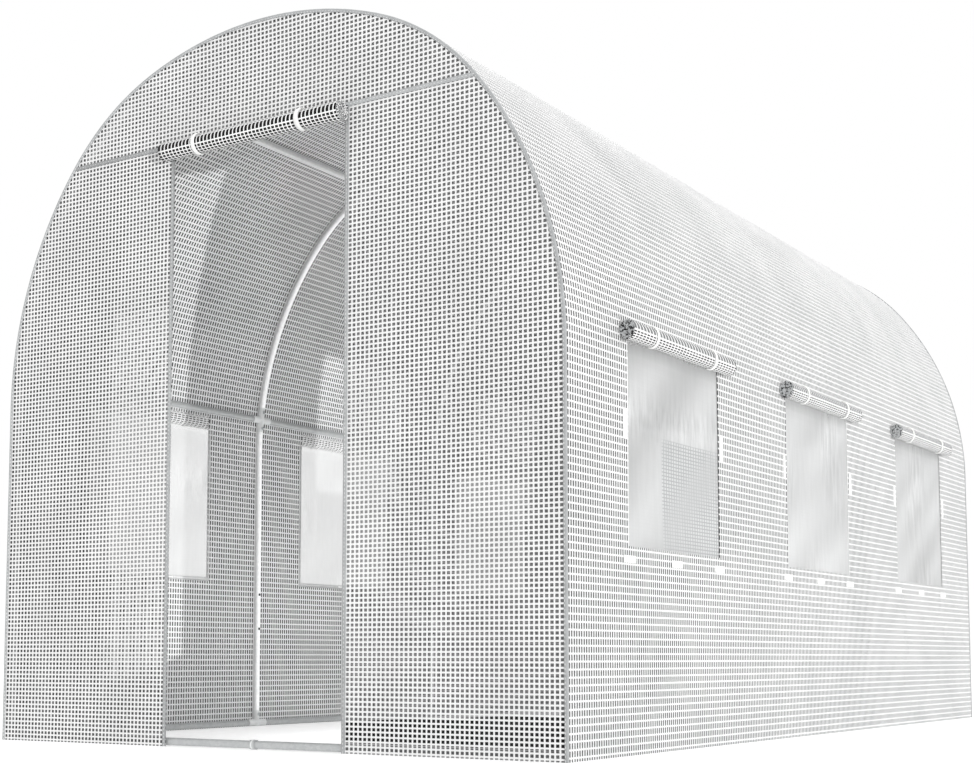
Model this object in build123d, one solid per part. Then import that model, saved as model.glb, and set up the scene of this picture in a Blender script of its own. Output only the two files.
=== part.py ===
from build123d import *
import math
import os

# Polytunnel greenhouse: four tube hoops under a gridded cover, a roll-up door in the front end and three
# windows with rolled-up flaps in each long side. Millimetres, +Z up, the door faces -Y, and the origin
# lies on the ground under the middle.

# Outside of the cover; angles are in degrees and start level at the leg
tunnel_width = 2000.0
tunnel_length = 3500.0
leg_height = 1027.0
side_radius = 1158.0
side_angle = 40.1
shoulder_radius = 760.0
shoulder_angle = 28.6
cover_thickness = 3.0
cover_strip_angle = 9.0

# Tube frame
tube_diameter = 22.0
joint_wall = 2.0
branch_wall = 1.5
socket_depth = 46.0
socket_clearance = 0.3
seat_gap = 0.3
hoop_count = 4
eave_angle = 5.9
roof_purlin_angle = 64.5
coupling_length = 20.0

# Doorway in the front end
door_width = 632.0
head_panel_height = 318.7
door_roll_diameter = 58.0
door_roll_overhang = 12.0
door_roll_drop = 20.0
door_strap_spacing = 381.0

# Windows in the long sides
window_count = 3
window_width = 572.0
window_height = 583.0
window_head_rise = 98.0
front_window_inset = 335.0
back_window_inset = 376.0
screen_thickness = 1.0
screen_lap = 15.0
window_roll_diameter = 57.0
window_roll_overhang = 42.0
window_roll_rise = 80.0
window_strap_inset = 98.0

# Straps, hook-and-loop tape and edge binding
strap_width = 14.0
strap_thickness = 2.0
binding_width = 12.0
arch_binding_width = 8.0
binding_thickness = 1.0
fastener_thickness = 1.5
side_fastener_width = 19.0
side_fastener_length = 80.0
side_fastener_rise = 320.0
side_fastener_gap = 12.0
sill_fastener_length = 69.0
sill_fastener_width = 20.0
sill_fastener_drop = 34.0
overrun = 20.0

# Worked-out sizes and places
half_width = tunnel_width / 2
tube_radius = tube_diameter / 2
bore_radius = tube_radius + socket_clearance
joint_radius = bore_radius + joint_wall
branch_radius = bore_radius + branch_wall
tube_inset = cover_thickness + seat_gap + joint_radius
axis_x = half_width - tube_inset
tube_stop = joint_radius + seat_gap
door_roll_radius = door_roll_diameter / 2
window_roll_radius = window_roll_diameter / 2
door_strap_reach = binding_thickness + seat_gap + strap_thickness
door_roll_reach = door_strap_reach + seat_gap + door_roll_radius
front_reach = door_roll_reach + door_roll_radius + seat_gap + strap_thickness
front_y = (front_reach - binding_thickness - tunnel_length) / 2
back_y = front_y + tunnel_length
front_inside = front_y + cover_thickness
back_inside = back_y - cover_thickness
hoop_pitch = (tunnel_length - 2 * tube_inset) / (hoop_count - 1)
hoop_places = [front_y + tube_inset + i * hoop_pitch for i in range(hoop_count)]
window_head = leg_height + window_head_rise
window_sill = window_head - window_height
window_run = tunnel_length - front_window_inset - back_window_inset - window_width
window_pitch = window_run / (window_count - 1)
window_places = [front_y + front_window_inset + i * window_pitch for i in range(window_count)]


def cosine(degrees):
    return math.cos(math.radians(degrees))


def sine(degrees):
    return math.sin(math.radians(degrees))


# The right half of the arch: a straight leg, then three tangent bends that end level at the crown
shoulder_end = side_angle + shoulder_angle
crown_angle = 90.0
side_run = side_radius * (1 - cosine(side_angle))
shoulder_run = shoulder_radius * (cosine(side_angle) - cosine(shoulder_end))
crown_radius = (half_width - side_run - shoulder_run) / cosine(shoulder_end)
side_centre = Vector(half_width - side_radius, leg_height)
shoulder_direction = Vector(cosine(side_angle), sine(side_angle))
shoulder_centre = side_centre + shoulder_direction * (side_radius - shoulder_radius)
crown_direction = Vector(cosine(shoulder_end), sine(shoulder_end))
crown_centre = shoulder_centre + crown_direction * (shoulder_radius - crown_radius)
tunnel_height = crown_centre.Y + crown_radius
lintel_height = tunnel_height - head_panel_height


def bend_at(turn):
    if turn < side_angle:
        return side_centre, side_radius
    if turn < shoulder_end:
        return shoulder_centre, shoulder_radius
    return crown_centre, crown_radius


def arch_point(turn, inset):
    centre, radius = bend_at(turn)
    return centre + Vector(cosine(turn), sine(turn)) * (radius - inset)


def bend_edges(inset, turn_from, turn_to):
    breaks = [turn for turn in (side_angle, shoulder_end) if turn_from < turn < turn_to]
    stops = [turn_from, *breaks, turn_to]
    edges = []
    for low, high in zip(stops, stops[1:]):
        centre, radius = bend_at((low + high) / 2)
        edges.append(CenterArc(centre, radius - inset, low, high - low))
    return edges


def leg_edge(inset, foot=0):
    return Line((half_width - inset, foot), (half_width - inset, leg_height))


def skin_face(inset, thickness, turn_from, turn_to, with_leg=False):
    outer = bend_edges(inset, turn_from, turn_to)
    inner = bend_edges(inset + thickness, turn_from, turn_to)
    if with_leg:
        outer.insert(0, leg_edge(inset))
        inner.insert(0, leg_edge(inset + thickness))
    ends = [Line(outer[-1] @ 1, inner[-1] @ 1), Line(inner[0] @ 0, outer[0] @ 0)]
    return make_face([*outer, *inner, *ends])


# Part of the cover between two angles, as narrow strips that follow the bend
def cover_strips(angle_from, angle_to):
    count = math.ceil((angle_to - angle_from) / cover_strip_angle)
    step = (angle_to - angle_from) / count
    stops = [*[angle_from + i * step for i in range(count)], angle_to]
    faces = [skin_face(0, cover_thickness, low, high) for low, high in zip(stops, stops[1:])]
    return [across(face, front_inside, back_inside) for face in faces]


def arch_face(inset):
    right = [leg_edge(inset), *bend_edges(inset, 0, crown_angle)]
    left = [mirror(edge, about=Plane.YZ) for edge in right]
    base = Line((inset - half_width, 0), (half_width - inset, 0))
    return make_face([*right, *left, base])


def across(face, y_from, y_to):
    return extrude(Plane.XZ.offset(-y_to) * face, amount=y_to - y_from)


def block(x_range, y_range, z_range):
    ranges = (x_range, y_range, z_range)
    size = [high - low for low, high in ranges]
    middle = [(high + low) / 2 for low, high in ranges]
    return Pos(*middle) * Box(*size)


def rod(start, end, radius):
    run = Vector(end) - Vector(start)
    return extrude(Plane(start, z_dir=run) * Circle(radius), amount=run.length)


def bent_rod(edges, y, radius):
    path = Plane.XZ.offset(-y) * Wire(edges)
    return sweep(Plane(path @ 0, z_dir=path % 0) * Circle(radius), path=path)


def tube_turn(length, turn):
    return math.degrees(length / (bend_at(turn)[1] - tube_inset))


def both_sides(solids):
    return [*solids, *[mirror(solid, about=Plane.YZ) for solid in solids]]


def left_of(solids):
    return [mirror(solid, about=Plane.YZ) for solid in solids]


def save(name, shapes):
    solids = [solid for shape in shapes for solid in shape.solids()]
    export_step(Compound(solids), f"parts/{name}.step")


def save_pair(name, right_shapes):
    save(f"right_{name}", right_shapes)
    save(f"left_{name}", left_of(right_shapes))


# Hoops: on each side a leg, a bow up to the roof purlin and a crown tube, each ending in a socket
def hoop(y):
    eave_stop = tube_turn(tube_stop, eave_angle)
    roof_stop = tube_turn(tube_stop, roof_purlin_angle)
    crown_end = crown_angle - tube_turn(seat_gap, crown_angle)
    leg_foot = leg_edge(tube_inset, joint_radius + tube_stop)
    leg_path = [leg_foot, *bend_edges(tube_inset, 0, eave_angle - eave_stop)]
    bow_path = bend_edges(tube_inset, eave_angle + eave_stop, roof_purlin_angle - roof_stop)
    crown_path = bend_edges(tube_inset, roof_purlin_angle + roof_stop, crown_end)
    return both_sides([bent_rod(path, y, tube_radius) for path in (leg_path, bow_path, crown_path)])


# Straight tubes between neighbouring hoops, along a line at one place of the arch
def bay_tubes(x, z):
    bays = zip(hoop_places, hoop_places[1:])
    return [rod((x, low + tube_stop, z), (x, high - tube_stop, z), tube_radius) for low, high in bays]


def end_rail(y):
    start = (seat_gap, y, joint_radius)
    end = (axis_x - tube_stop, y, joint_radius)
    return both_sides([rod(start, end, tube_radius)])


# Sockets: sleeves round the tube ends, each bored up to a stop
def foot(y, rail_directions):
    centre = Vector(axis_x, y, joint_radius)
    directions = [Vector(0, 0, 1), *rail_directions]
    body = rod((axis_x, y, 0), centre + Vector(0, 0, socket_depth), joint_radius)
    for direction in rail_directions:
        body += rod(centre, centre + direction * socket_depth, branch_radius)
    for direction in directions:
        mouth = centre + direction * (socket_depth + overrun)
        body -= rod(centre + direction * joint_radius, mouth, bore_radius)
    return body


def purlin_directions(y):
    forward = [Vector(0, -1, 0)] if y > hoop_places[0] else []
    backward = [Vector(0, 1, 0)] if y < hoop_places[-1] else []
    return forward + backward


def arch_joint(turn, y):
    reach = tube_turn(socket_depth, turn)
    past = tube_turn(socket_depth + overrun, turn)
    stop = tube_turn(joint_radius, turn)
    place = arch_point(turn, tube_inset)
    centre = Vector(place.X, y, place.Y)
    body = bent_rod(bend_edges(tube_inset, turn - reach, turn + reach), y, joint_radius)
    for direction in purlin_directions(y):
        body += rod(centre, centre + direction * socket_depth, branch_radius)
    for low, high in ((turn - past, turn - stop), (turn + stop, turn + past)):
        body -= bent_rod(bend_edges(tube_inset, low, high), y, bore_radius)
    for direction in purlin_directions(y):
        mouth = centre + direction * (socket_depth + overrun)
        body -= rod(centre + direction * joint_radius, mouth, bore_radius)
    return body


def crown_coupling(y):
    radius = crown_radius - tube_inset
    reach = math.degrees(coupling_length / 2 / radius)
    past = math.degrees((coupling_length / 2 + overrun) / radius)
    sleeve = bent_rod([CenterArc(crown_centre, radius, crown_angle - reach, 2 * reach)], y, joint_radius)
    bore = bent_rod([CenterArc(crown_centre, radius, crown_angle - past, 2 * past)], y, bore_radius)
    return sleeve - bore


def rail_coupling(y):
    reach = coupling_length / 2
    past = reach + overrun
    sleeve = rod((-reach, y, joint_radius), (reach, y, joint_radius), joint_radius)
    return sleeve - rod((-past, y, joint_radius), (past, y, joint_radius), bore_radius)


# A strap that lies over a roll, from the cloth above it to the cloth below
def over_strap(plane, roll_radius):
    inner = roll_radius + seat_gap
    outer = inner + strap_thickness
    middle = seat_gap + roll_radius
    edges = [
        Line((0, outer), (middle, outer)),
        CenterArc((middle, 0), outer, -90, 180),
        Line((middle, -outer), (0, -outer)),
        Line((0, -outer), (0, -inner)),
        Line((0, -inner), (middle, -inner)),
        CenterArc((middle, 0), inner, -90, 180),
        Line((middle, inner), (0, inner)),
        Line((0, inner), (0, outer)),
    ]
    return extrude(plane * make_face(edges), amount=strap_width)


def window_cut(y, margin):
    sides = (y - margin, y + window_width + margin)
    return block((axis_x, half_width + overrun), sides, (window_sill - margin, window_head + margin))


def window_strap(y):
    place = arch_point(roll_angle, 0)
    outward = (cosine(roll_angle), 0, sine(roll_angle))
    origin = (place.X, y + strap_width / 2, place.Y)
    return over_strap(Plane(origin, x_dir=outward, z_dir=(0, -1, 0)), window_roll_radius)


def window_roll(y):
    place = arch_point(roll_angle, -seat_gap - window_roll_radius)
    start = (place.X, y - window_roll_overhang, place.Y)
    end = (place.X, y + window_width + window_roll_overhang, place.Y)
    return rod(start, end, window_roll_radius)


def window_fasteners(y):
    face = (half_width, half_width + fastener_thickness)
    side_middle = window_sill + side_fastener_rise
    side_span = (side_middle - side_fastener_length / 2, side_middle + side_fastener_length / 2)
    sill_middle = window_sill - sill_fastener_drop
    sill_span = (sill_middle - sill_fastener_width / 2, sill_middle + sill_fastener_width / 2)
    reach = side_fastener_gap + side_fastener_width
    far = y + window_width
    strips = [block(face, (y - reach, y - side_fastener_gap), side_span)]
    strips.append(block(face, (far + side_fastener_gap, far + reach), side_span))
    for middle in (y, (y + far) / 2, far):
        ends = (middle - sill_fastener_length / 2, middle + sill_fastener_length / 2)
        strips.append(block(face, ends, sill_span))
    return strips


# A door strap goes right round the roll, with a tab sewn on to the lintel tape behind it
def door_strap(x):
    inner = door_roll_radius + seat_gap
    outer = inner + strap_thickness
    start = Vector(x - strap_width / 2, door_roll_y, door_roll_z)
    end = start + Vector(strap_width, 0, 0)
    tab_back = front_y - binding_thickness - seat_gap
    tab_depth = (tab_back - strap_thickness, tab_back)
    tab = block((start.X, end.X), tab_depth, (door_roll_z, lintel_height + binding_width))
    bore = rod(start - Vector(overrun, 0, 0), end + Vector(overrun, 0, 0), inner)
    return rod(start, end, outer) + tab - bore


roll_angle = math.degrees(math.asin(window_roll_rise / side_radius))
door_roll_y = front_y - door_roll_reach
door_roll_z = lintel_height - door_roll_drop
front_tape = (front_y - binding_thickness, front_y)
back_tape = (back_y, back_y + binding_thickness)
os.makedirs("parts", exist_ok=True)

# Frame
for name, y in zip(("front", "second", "third", "back"), hoop_places):
    save(f"{name}_hoop", hoop(y))
eave = arch_point(eave_angle, tube_inset)
roof = arch_point(roof_purlin_angle, tube_inset)
save_pair("side_rail", bay_tubes(axis_x, joint_radius))
save_pair("eave_purlin", bay_tubes(eave.X, eave.Y))
save_pair("roof_purlin", bay_tubes(roof.X, roof.Y))
save("front_rail", end_rail(hoop_places[0]))
save("back_rail", end_rail(hoop_places[-1]))
inward = Vector(-1, 0, 0)
front_foot = foot(hoop_places[0], [*purlin_directions(hoop_places[0]), inward])
back_foot = foot(hoop_places[-1], [*purlin_directions(hoop_places[-1]), inward])
save("corner_feet", both_sides([front_foot, back_foot]))
save("middle_feet", both_sides([foot(y, purlin_directions(y)) for y in hoop_places[1:-1]]))
save("eave_joints", both_sides([arch_joint(eave_angle, y) for y in hoop_places]))
save("roof_joints", both_sides([arch_joint(roof_purlin_angle, y) for y in hoop_places]))
rail_couplings = [rail_coupling(y) for y in (hoop_places[0], hoop_places[-1])]
save("tube_couplings", [*rail_couplings, *[crown_coupling(y) for y in hoop_places]])

# Cover
wall = across(skin_face(0, cover_thickness, 0, eave_angle, True), front_inside, back_inside)
for y in window_places:
    wall -= window_cut(y, 0)
save_pair("wall", [wall])
save_pair("haunch", cover_strips(eave_angle, side_angle))
save_pair("shoulder", cover_strips(side_angle, shoulder_end))
save("roof_crown", both_sides(cover_strips(shoulder_end, crown_angle)))
front_end = across(arch_face(0), front_y, front_inside)
end_depth = (front_y - overrun, front_inside + overrun)
beside_door = block((door_width / 2, half_width + overrun), end_depth, (0, lintel_height))
over_door = block((-tunnel_width, tunnel_width), end_depth, (lintel_height, tunnel_height + overrun))
front_right = front_end & beside_door
save("front_right_panel", [front_right])
save("front_left_panel", left_of([front_right]))
save("front_head_panel", [front_end & over_door])
save("back_wall", [across(arch_face(0), back_inside, back_y)])

# Windows
screen_face = skin_face(cover_thickness + seat_gap, screen_thickness, 0, eave_angle, True)
screen_sheet = across(screen_face, front_inside, back_inside)
save_pair("window_screens", [screen_sheet & window_cut(y, screen_lap) for y in window_places])
save_pair("window_rolls", [window_roll(y) for y in window_places])
strap_insets = (window_strap_inset, window_width - window_strap_inset)
strap_places = [y + inset for y in window_places for inset in strap_insets]
save_pair("window_straps", [window_strap(y) for y in strap_places])
save_pair("window_fasteners", [strip for y in window_places for strip in window_fasteners(y)])

# Rolled-up door
door_reach = door_width / 2 + door_roll_overhang
roll_start = (-door_reach, door_roll_y, door_roll_z)
roll_end = (door_reach, door_roll_y, door_roll_z)
save("door_roll", [rod(roll_start, roll_end, door_roll_radius)])
save("door_straps", both_sides([door_strap(door_strap_spacing / 2)]))

# Tape on the sewn edges
band = arch_face(0) - arch_face(arch_binding_width)
save("front_arch_binding", [across(band, *front_tape)])
save("back_arch_binding", [across(band, *back_tape)])
lintel_rise = (lintel_height, lintel_height + binding_width)
lintel_band = block((-tunnel_width, tunnel_width), front_tape, lintel_rise)
save("lintel_binding", [across(arch_face(arch_binding_width), *front_tape) & lintel_band])
jamb_side = (door_width / 2, door_width / 2 + binding_width)
save("jamb_bindings", both_sides([block(jamb_side, front_tape, (0, lintel_height))]))
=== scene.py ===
import math
import bmesh
import bpy
import numpy as np
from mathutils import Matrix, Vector, noise


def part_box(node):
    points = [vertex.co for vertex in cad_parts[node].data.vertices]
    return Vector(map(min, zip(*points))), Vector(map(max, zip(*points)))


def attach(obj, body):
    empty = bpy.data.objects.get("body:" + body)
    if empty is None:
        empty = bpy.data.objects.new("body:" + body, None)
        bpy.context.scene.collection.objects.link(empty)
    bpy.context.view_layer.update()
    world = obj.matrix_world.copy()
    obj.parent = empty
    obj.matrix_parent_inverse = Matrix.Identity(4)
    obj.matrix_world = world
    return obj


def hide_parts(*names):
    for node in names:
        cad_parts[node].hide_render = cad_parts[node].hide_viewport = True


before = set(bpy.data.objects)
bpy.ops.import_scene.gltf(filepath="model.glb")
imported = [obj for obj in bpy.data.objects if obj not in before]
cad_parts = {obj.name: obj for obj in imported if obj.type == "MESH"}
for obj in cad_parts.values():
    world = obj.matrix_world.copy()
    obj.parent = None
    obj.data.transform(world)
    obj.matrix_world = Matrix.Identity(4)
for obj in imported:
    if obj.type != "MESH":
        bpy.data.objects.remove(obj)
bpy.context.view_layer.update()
scene = bpy.context.scene
scene.view_settings.view_transform = "Standard"
print("frame: %d CAD nodes" % len(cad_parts))

# camera at knee height off the front right corner, tipped up; the rest of the rise is lens shift
eye = {
    "place": (2.8758, -5.0513, 0.2506), "turn": 0.5783, "tip": 5.0,
    "focal": 1574.3, "centre": (463.3, 520.5), "picture": (974, 765),
}
cameraData = bpy.data.cameras.new("camera")
cameraData.sensor_width = 36.0
cameraData.lens = 36.0 * eye["focal"] / eye["picture"][0]
cameraData.shift_x = (eye["picture"][0] / 2 - eye["centre"][0]) / eye["picture"][0]
cameraData.shift_y = (eye["centre"][1] - eye["picture"][1] / 2) / eye["picture"][0]
camera = bpy.data.objects.new("camera", cameraData)
camera.location = eye["place"]
camera.rotation_euler = (math.radians(90 + eye["tip"]), 0, eye["turn"])
scene.collection.objects.link(camera)
scene.camera = camera


def hexToLinear(text):
    parts = [int(text[i:i + 2], 16) / 255 for i in (1, 3, 5)]
    return [c / 12.92 if c <= 0.04045 else ((c + 0.055) / 1.055) ** 2.4 for c in parts] + [1.0]


# adds one node and gives its outputs; an input is a value or the socket that feeds it
def addNode(tree, kind, inputs=None, **settings):
    node = tree.nodes.new(kind if "Node" in kind else "ShaderNode" + kind)
    for name, value in settings.items():
        setattr(node, name, value)
    for name, value in (inputs or {}).items():
        if isinstance(value, bpy.types.NodeSocket):
            tree.links.new(value, node.inputs[name])
        else:
            node.inputs[name].default_value = value
    return node.outputs


# a material whose surface comes from one of the functions below
def newMaterial(name, surface, *values):
    material = bpy.data.materials.new(name)
    material.use_nodes = True
    tree = material.node_tree
    tree.nodes.clear()
    addNode(tree, "OutputMaterial", {"Surface": surface(tree, *values)})
    return material


# two tones that drift into each other over a real distance, in metres
def driftingTone(tree, darkHex, lightHex, patch, low=0.35, high=0.65):
    where = addNode(tree, "TexCoord")["Object"]
    cloud = addNode(tree, "TexNoise", {"Vector": where, "Scale": 1 / patch, "Detail": 3.0})["Fac"]
    tone = addNode(tree, "ValToRGB", {"Fac": cloud})["Color"]
    for stop, place, text in zip(tone.node.color_ramp.elements, (low, high), (darkHex, lightHex)):
        stop.position, stop.color = place, hexToLinear(text)
    return tone, cloud


# a body of drifting tone and gloss with a fine relief; relief gives size, detail, strength and depth
def driftingBody(tree, darkHex, lightHex, patch, gloss, relief, more):
    tone, cloud = driftingTone(tree, darkHex, lightHex, patch)
    rough = addNode(tree, "MapRange", {"Value": cloud, "To Min": gloss[0], "To Max": gloss[1]})[0]
    size, detail, strength, depth = relief
    where = addNode(tree, "TexCoord")["Object"]
    height = addNode(tree, "TexNoise", {"Vector": where, "Scale": 1 / size, "Detail": detail})["Fac"]
    bump = addNode(tree, "Bump", {"Strength": strength, "Distance": depth, "Height": height})[0]
    body = addNode(tree, "BsdfPrincipled", {"Base Color": tone, "Roughness": rough, "Normal": bump, **more})[0]
    return body, tone


# 1 on the tapes or threads of a grid, 0 in its cells; each way has a place, a pitch and the share that is tape
def gridMask(tree, ways):
    lines = []
    for place, pitch, share in ways:
        scaled = addNode(tree, "Math", {0: place, 1: pitch}, operation="DIVIDE")[0]
        part = addNode(tree, "Math", {0: scaled}, operation="FRACT")[0]
        lines.append(addNode(tree, "Math", {0: part, 1: 1 - share}, operation="GREATER_THAN")[0])
    return addNode(tree, "Math", {0: lines[0], 1: lines[1]}, operation="MAXIMUM")[0]


# slit polyethylene tape, woven: flat white with a dull satin, and light glows through it
def tapeSurface(tree, darkHex, lightHex, glow):
    fibre = (0.0025, 2.0, 0.25, 0.0004)
    body, tone = driftingBody(tree, darkHex, lightHex, 0.22, (0.38, 0.52), fibre, {"IOR": 1.5})
    through = addNode(tree, "BsdfTranslucent", {"Color": tone})[0]
    return addNode(tree, "MixShader", {0: glow, 1: body, 2: through})[0]


# smoky laminated film in the cells: thin and glossy, lets part of the view through
def filmSurface(tree, darkHex, lightHex, solid, shine):
    crease, more = (0.018, 2.0, 0.2, 0.001), {"IOR": 1.5, "Specular IOR Level": shine}
    body = driftingBody(tree, darkHex, lightHex, 0.3, (0.2, 0.34), crease, more)[0]
    clear = addNode(tree, "BsdfTransparent")[0]
    return addNode(tree, "MixShader", {0: solid, 1: clear, 2: body})[0]


# rolled cover cloth: the same woven grid, many layers deep, so its cells are solid and dark
def rolledSurface(tree, sizes):
    along, rows, deep = [
        addNode(tree, "Attribute", attribute_name=key)["Fac"] for key in ("along", "rows", "deep")]
    tapeShare = sizes["tape"] / sizes["along"]
    onTape = gridMask(tree, ((along, sizes["along"], tapeShare), (rows, 1.0, sizes["rowTapeShare"])))
    tone = driftingTone(tree, *sizes["tapeTones"], 0.12)[0]
    pale, dark = [hexToLinear(text) for text in sizes["cellTones"]]
    cell = addNode(tree, "Mix", {"Factor": deep, 6: pale, 7: dark}, data_type="RGBA")[2]
    colour = addNode(tree, "Mix", {"Factor": onTape, 6: cell, 7: tone}, data_type="RGBA")[2]
    bump = addNode(tree, "Bump", {"Strength": 0.5, "Distance": 0.0008, "Height": onTape})[0]
    rough = addNode(tree, "MapRange", {"Value": onTape, "To Min": 0.25, "To Max": 0.45})[0]
    return addNode(tree, "BsdfPrincipled", {
        "Base Color": colour, "Roughness": rough, "IOR": 1.5, "Specular IOR Level": 0.2, "Normal": bump})[0]


# cut edges at the end of a roll: tape ends show as pale flecks between the dark film
def rollEndSurface(tree, darkHex, lightHex, low, high):
    tone = driftingTone(tree, darkHex, lightHex, 0.006, low, high)[0]
    return addNode(tree, "BsdfPrincipled", {
        "Base Color": tone, "Roughness": 0.6, "IOR": 1.5, "Specular IOR Level": 0.2})[0]


# knitted insect net under a milky haze: half see-through, its grey threads bare only in places
def netSurface(tree, sizes):
    where = addNode(tree, "TexCoord")["Object"]
    split = addNode(tree, "SeparateXYZ", {0: where})
    ways = (("Y", *sizes["upright"]), ("Z", *sizes["level"]))
    onThread = gridMask(tree, [(split[axis], pitch, thread / pitch) for axis, pitch, thread in ways])
    stretch = addNode(tree, "Mapping", {"Vector": where, "Scale": (1, 1, 0.2)})[0]
    streak = addNode(tree, "TexNoise", {"Vector": stretch, "Scale": 1 / 0.022, "Detail": 3.0})["Fac"]
    most = sizes["streak"]
    smear = addNode(tree, "MapRange", {
        "Value": streak, "From Min": 0.3, "From Max": 0.7, "To Min": -most, "To Max": most})[0]
    cloud, crease, bare, drift = [
        addNode(tree, "Attribute", attribute_name=key)["Fac"] for key in ("cloud", "crease", "bare", "drift")]
    haze = addNode(tree, "Math", {0: crease, 1: smear, 2: cloud}, operation="MULTIPLY_ADD")[0]
    shown = addNode(tree, "Math", {0: bare, 1: onThread}, operation="MULTIPLY")[0]
    milky = addNode(tree, "Math", {0: bare, 1: sizes["bareHaze"], 2: haze}, operation="MULTIPLY_ADD")[0]
    opacity = addNode(tree, "Math", {
        0: shown, 1: sizes["threadSolid"], 2: milky}, operation="MULTIPLY_ADD", use_clamp=True)[0]
    dark, light, thread = [hexToLinear(text) for text in sizes["tones"]]
    hazeTone = addNode(tree, "Mix", {"Factor": drift, 6: dark, 7: light}, data_type="RGBA")[2]
    tone = addNode(tree, "Mix", {"Factor": shown, 6: hazeTone, 7: thread}, data_type="RGBA")[2]
    body = addNode(tree, "BsdfPrincipled", {
        "Base Color": tone, "Roughness": 0.4, "IOR": 1.5, "Specular IOR Level": 0.5})[0]
    through = addNode(tree, "BsdfTranslucent", {"Color": tone})[0]
    cloth = addNode(tree, "MixShader", {0: 0.25, 1: body, 2: through})[0]
    clear = addNode(tree, "BsdfTransparent")[0]
    return addNode(tree, "MixShader", {0: opacity, 1: clear, 2: cloth})[0]


# woven polyester tape and webbing: fine ribs across, matt with a soft sheen
def webbingSurface(tree, darkHex, lightHex, rib):
    tone = driftingTone(tree, darkHex, lightHex, 0.04)[0]
    where = addNode(tree, "TexCoord")["Object"]
    ribs = addNode(tree, "TexVoronoi", {"Vector": where, "Scale": 1 / rib, "Randomness": 0.3})["Distance"]
    bump = addNode(tree, "Bump", {"Strength": 0.45, "Distance": 0.0006, "Height": ribs})[0]
    return addNode(tree, "BsdfPrincipled", {
        "Base Color": tone, "Roughness": 0.75, "IOR": 1.5, "Sheen Weight": 0.25, "Sheen Roughness": 0.5,
        "Normal": bump})[0]


# galvanised steel: pale zinc with a faint spangle
def zincSurface(tree, darkHex, lightHex, metal):
    where = addNode(tree, "TexCoord")["Object"]
    spangle = addNode(tree, "TexVoronoi", {"Vector": where, "Scale": 1 / 0.009})["Color"]
    grey = addNode(tree, "SeparateColor", {0: spangle})
    dark, light = hexToLinear(darkHex), hexToLinear(lightHex)
    tone = addNode(tree, "Mix", {"Factor": grey[0], 6: dark, 7: light}, data_type="RGBA")[2]
    rough = addNode(tree, "MapRange", {"Value": grey[1], "To Min": 0.42, "To Max": 0.52})[0]
    return addNode(tree, "BsdfPrincipled", {"Base Color": tone, "Metallic": metal, "Roughness": rough})[0]


# injection-moulded polypropylene: even colour, fine orange-peel skin
def mouldedSurface(tree, darkHex, lightHex):
    skin = (0.002, 1.0, 0.15, 0.0003)
    return driftingBody(tree, darkHex, lightHex, 0.05, (0.36, 0.5), skin, {"IOR": 1.49})[0]


endTape = newMaterial("wovenTapeEnds", tapeSurface, "#eeeeee", "#f6f6f6", 0.08)
sideTape = newMaterial("wovenTapeLong", tapeSurface, "#eeeeee", "#f6f6f6", 0.08)
girthTape = newMaterial("wovenTapeGirth", tapeSurface, "#e6e7e7", "#f0f0f0", 0.08)
endFilm = newMaterial("laminateFilmEnds", filmSurface, "#0c0d0d", "#161718", 0.64, 0.5)
# painted shade: a denser, darker copy of the end film for the cloth left of the doorway
paintedShadeFilm = newMaterial("laminateFilmPaintedShade", filmSurface, "#0c0d0d", "#161718", 0.8, 0.5)
sideFilm = newMaterial("laminateFilmSides", filmSurface, "#1a1c1d", "#242628", 0.97, 0.4)
# painted shade: near-black film for the dark band along the foot of the right front cloth
shadeBandFilm = newMaterial("paintedShadeBand", filmSurface, "#060606", "#0c0d0d", 0.98, 0.15)
doorRollCloth = newMaterial("rolledDoorCloth", rolledSurface, {
    "along": 0.0138, "tape": 0.0038, "rowTapeShare": 0.28,
    "tapeTones": ("#ececec", "#f8f8f8"), "cellTones": ("#2a2b2c", "#020202")})
windowRollCloth = newMaterial("rolledFlapCloth", rolledSurface, {
    "along": 0.019, "tape": 0.0055, "rowTapeShare": 0.5,
    "tapeTones": ("#e6e6e6", "#f2f2f2"), "cellTones": ("#808283", "#060607")})
doorRollEnd = newMaterial("rolledDoorEdge", rollEndSurface, "#8c8e8f", "#f2f2f2", 0.46, 0.54)
windowRollEnd = newMaterial("rolledFlapEdge", rollEndSurface, "#0e0e0f", "#b8babb", 0.42, 0.5)
# the real mesh is about 1.5 mm, too fine to show here, so it is drawn at 10 by 16 mm
netCloth = newMaterial("insectNet", netSurface, {
    "upright": (0.0161, 0.0052), "level": (0.01, 0.0034), "streak": 0.24, "bareHaze": 0.06, "threadSolid": 0.1,
    "tones": ("#c4c5c5", "#e2e3e3", "#aaacad")})
whiteWebbing = newMaterial("whiteWebbing", webbingSurface, "#f0f0ee", "#fbfbfa", 0.0016)
hookTape = newMaterial("hookAndLoopTape", webbingSurface, "#f4f4f3", "#fcfcfb", 0.0022)
greyTape = newMaterial("greyBindingTape", webbingSurface, "#a2a4a5", "#b0b2b3", 0.0014)
sewingThread = newMaterial("polyesterThread", webbingSurface, "#e9e9e8", "#f6f6f5", 0.001)
# one galvanised steel in two copies: near-white with painted light for hoops and roof purlin, grey with painted
# shade for rails, eave purlin and couplings
litZinc = newMaterial("galvanisedLitCopy", zincSurface, "#eff0f0", "#f8f8f8", 0.4)
shadedZinc = newMaterial("galvanisedShadedCopy", zincSurface, "#babcbd", "#c4c6c6", 0.5)
zincScrew = newMaterial("zincScrew", zincSurface, "#b4b8ba", "#cdd0d2", 0.9)
darkButton = newMaterial("springButton", zincSurface, "#3a3c3d", "#4a4c4d", 0.6)
paleJoint = newMaterial("mouldedJoint", mouldedSurface, "#dfe1e1", "#ebecec")
print("materials: %d" % len(bpy.data.materials))

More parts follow.
